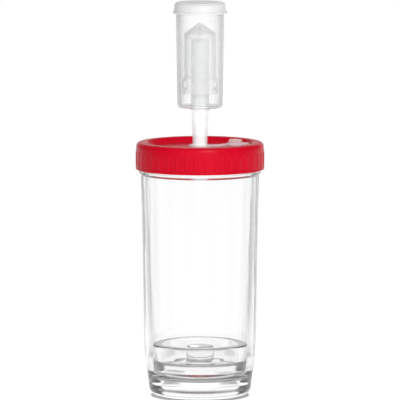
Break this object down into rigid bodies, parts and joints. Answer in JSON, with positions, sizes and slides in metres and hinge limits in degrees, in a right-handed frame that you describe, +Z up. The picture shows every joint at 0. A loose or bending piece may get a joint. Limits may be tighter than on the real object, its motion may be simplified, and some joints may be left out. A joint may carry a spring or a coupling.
{
  "type": "fermentation jar with airlock",
  "caption": "Wide-mouth glass jar with a screw lid, a water airlock held in a silicone grommet with its own spare plug, and a knobbed glass weight that keeps food under the brine.",
  "frame": {"origin": "centre of the circle that the jar stands on", "axes": "+Z up along the jar's axis, +X towards the spare plug on the lid, -Y towards the viewer"},
  "size_m": [0.092, 0.092, 0.2824],
  "materials": {
    "jar_glass": "clear moulded soda-lime glass",
    "weight_glass": "clear pressed glass",
    "silicone": "translucent silicone",
    "lid_plastic": "glossy red moulded plastic",
    "clear_plastic": "clear moulded polystyrene",
    "frosted_plastic": "frosted translucent polypropylene"
  },
  "bodies": {
    "jar": {"glass_jar": "jar_glass"},
    "weight": {"glass_weight": "weight_glass"},
    "seal": {"seal_ring": "silicone"},
    "lid": {"screw_lid": "lid_plastic", "grommet": "silicone"},
    "plug": {"stopper_plug": "silicone"},
    "airlock": {"airlock_body": "clear_plastic"},
    "float": {"airlock_float": "frosted_plastic"},
    "cap": {"airlock_cap": "frosted_plastic"}
  },
  "joints": [
    {"name": "lid_lift", "type": "slide", "parent": "jar", "child": "seal", "axis": [0, 0, 1], "range_m": [0, 0.0076]},
    {"name": "lid_turn", "type": "hinge", "parent": "seal", "child": "lid", "pos_m": [0, 0, 0.17], "axis": [0, 0, 1], "range_deg": [0, 430]},
    {"name": "plug_fold", "type": "hinge", "parent": "lid", "child": "plug", "pos_m": [0.0126, 0, 0.1805], "axis": [0, -1, 0], "range_deg": [0, 90], "stiffness_Nm_per_rad": 0.002},
    {"name": "airlock_pull", "type": "slide", "parent": "lid", "child": "airlock", "axis": [0, 0, 1], "range_m": [0, 0.03]},
    {"name": "float_rise", "type": "slide", "parent": "airlock", "child": "float", "axis": [0, 0, 1], "range_m": [0, 0.012]},
    {"name": "cap_pull", "type": "slide", "parent": "airlock", "child": "cap", "axis": [0, 0, 1], "range_m": [0, 0.02]},
    {"name": "weight_lift", "type": "slide", "parent": "jar", "child": "weight", "axis": [0, 0, 1], "range_m": [0, 0.115]}
  ],
  "couplings": [
    {"joint": "lid_lift", "follows": "lid_turn", "m_per_rad": 0.0010106}
  ]
}
